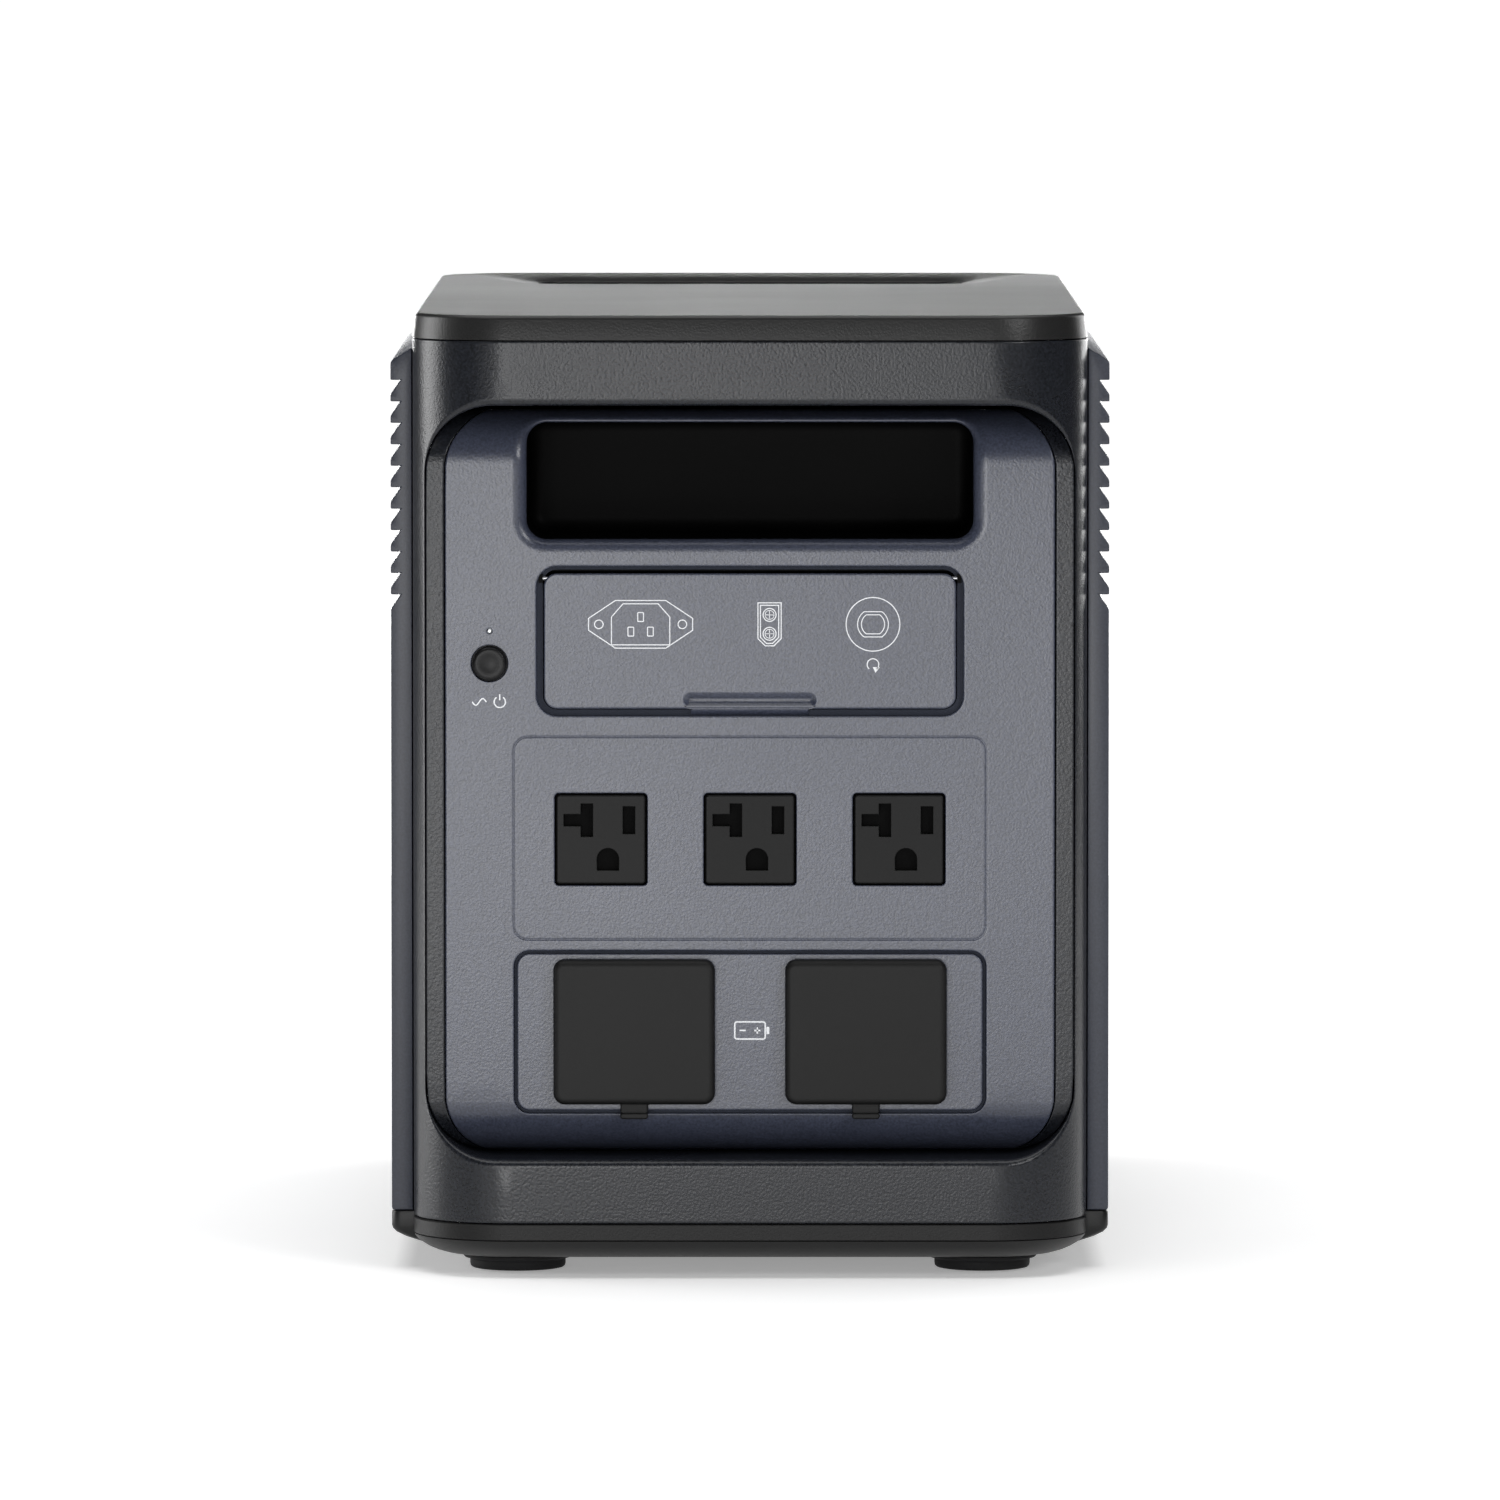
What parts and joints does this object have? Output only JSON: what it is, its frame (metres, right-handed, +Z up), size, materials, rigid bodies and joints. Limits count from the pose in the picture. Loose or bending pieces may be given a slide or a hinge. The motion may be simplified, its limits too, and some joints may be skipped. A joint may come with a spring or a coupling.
{
  "type": "portable power station",
  "caption": "Box-shaped battery power station on feet, with a recessed port panel, a hinged input door, covered battery ports, louvred sides and a hand grip at each end.",
  "frame": {"origin": "on the floor under the middle of the body, level with the feet's undersides", "axes": "+Z up, -Y out of the front (outlet) face, +X to the right of someone who faces the front"},
  "size_m": [0.2176, 0.4, 0.29],
  "materials": {
    "frame": "dark grey moulded plastic with a fine metallic grain",
    "panel": "blue-grey moulded plastic with a fine metallic grain",
    "side": "dark blue-grey moulded plastic, satin",
    "lid": "dark grey plastic with a leather-like grain",
    "tray": "black plastic, grained band over a smooth lower edge",
    "rubber": "matt black rubber",
    "pocket": "black plastic",
    "outlet": "satin black plastic",
    "button": "satin black plastic",
    "breaker_red": "red plastic",
    "contacts": "plated brass",
    "steel": "zinc-plated steel",
    "lens": "smoked display window",
    "light": "clear light pipe",
    "board": "circuit board with parts",
    "cells": "aluminium-cased cells in a blue wrap",
    "heatsink": "plain extruded aluminium",
    "fan": "black plastic"
  },
  "bodies": {
    "case": {"front_frame": "frame", "rear_frame": "frame", "front_panel": "panel", "rear_panel": "panel", "battery_port_plate": "panel", "left_side_panel": "side", "right_side_panel": "side", "top_cover": "lid", "base_tray": "tray", "foot_front_left": "rubber", "foot_front_right": "rubber", "foot_rear_left": "rubber", "foot_rear_right": "rubber", "front_handle_cup": "pocket", "rear_handle_well": "pocket", "input_bay": "pocket", "outlet_left": "outlet", "outlet_centre": "outlet", "outlet_right": "outlet", "ac_inlet": "outlet", "dc_inlet": "outlet", "breaker_body": "outlet", "battery_socket_left": "outlet", "battery_socket_right": "outlet", "usb_module": "outlet", "car_socket": "outlet", "ac_inlet_pins": "contacts", "dc_inlet_pins": "contacts", "outlet_contacts_left": "contacts", "outlet_contacts_centre": "contacts", "outlet_contacts_right": "contacts", "battery_contacts_left": "contacts", "battery_contacts_right": "contacts", "input_door_pin": "steel", "foot_screw_front_left": "steel", "foot_screw_front_right": "steel", "foot_screw_rear_left": "steel", "foot_screw_rear_right": "steel", "pack_bracket": "steel", "display_lens": "lens", "status_led": "light", "button_board": "board", "rear_control_board": "board", "bms_board": "board", "inverter_board": "board", "battery_pack": "cells", "inverter_heatsink": "heatsink", "fan_frame_left": "fan", "fan_frame_right": "fan"},
    "input_door": {"input_door": "panel"},
    "battery_cover_left": {"battery_cover_left": "rubber"},
    "battery_cover_right": {"battery_cover_right": "rubber"},
    "ac_button": {"ac_button": "button"},
    "breaker_button": {"breaker_button": "breaker_red"},
    "power_button": {"power_button": "button"},
    "dc_button": {"dc_button": "button"},
    "car_socket_cap": {"car_socket_cap": "rubber"},
    "fan_rotor_left": {"fan_rotor_left": "fan"},
    "fan_rotor_right": {"fan_rotor_right": "fan"}
  },
  "joints": [
    {"name": "input_door_hinge", "type": "hinge", "parent": "case", "child": "input_door", "pos_m": [0, -0.183, 0.2102], "axis": [-1, 0, 0], "range_deg": [0, 120]},
    {"name": "battery_cover_left_hinge", "type": "hinge", "parent": "case", "child": "battery_cover_left", "pos_m": [-0.035, -0.18715, 0.09285], "axis": [-1, 0, 0], "range_deg": [0, 120]},
    {"name": "battery_cover_right_hinge", "type": "hinge", "parent": "case", "child": "battery_cover_right", "pos_m": [0.035, -0.18715, 0.09285], "axis": [-1, 0, 0], "range_deg": [0, 120]},
    {"name": "car_socket_cap_hinge", "type": "hinge", "parent": "case", "child": "car_socket_cap", "pos_m": [-0.038, 0.1863, 0.143], "axis": [1, 0, 0], "range_deg": [0, 120]},
    {"name": "ac_button_press", "type": "slide", "parent": "case", "child": "ac_button", "axis": [0, 1, 0], "range_m": [0, 0.0012], "stiffness_N_per_m": 1500},
    {"name": "breaker_button_press", "type": "slide", "parent": "case", "child": "breaker_button", "axis": [0, 1, 0], "range_m": [0, 0.003], "stiffness_N_per_m": 800},
    {"name": "power_button_press", "type": "slide", "parent": "case", "child": "power_button", "axis": [0, -1, 0], "range_m": [0, 0.0012], "stiffness_N_per_m": 1500},
    {"name": "dc_button_press", "type": "slide", "parent": "case", "child": "dc_button", "axis": [0, -1, 0], "range_m": [0, 0.0012], "stiffness_N_per_m": 1500},
    {"name": "fan_left_spin", "type": "hinge", "parent": "case", "child": "fan_rotor_left", "pos_m": [-0.089, 0.02, 0.236], "axis": [1, 0, 0], "continuous": true},
    {"name": "fan_right_spin", "type": "hinge", "parent": "case", "child": "fan_rotor_right", "pos_m": [0.089, 0.02, 0.236], "axis": [1, 0, 0], "continuous": true}
  ]
}
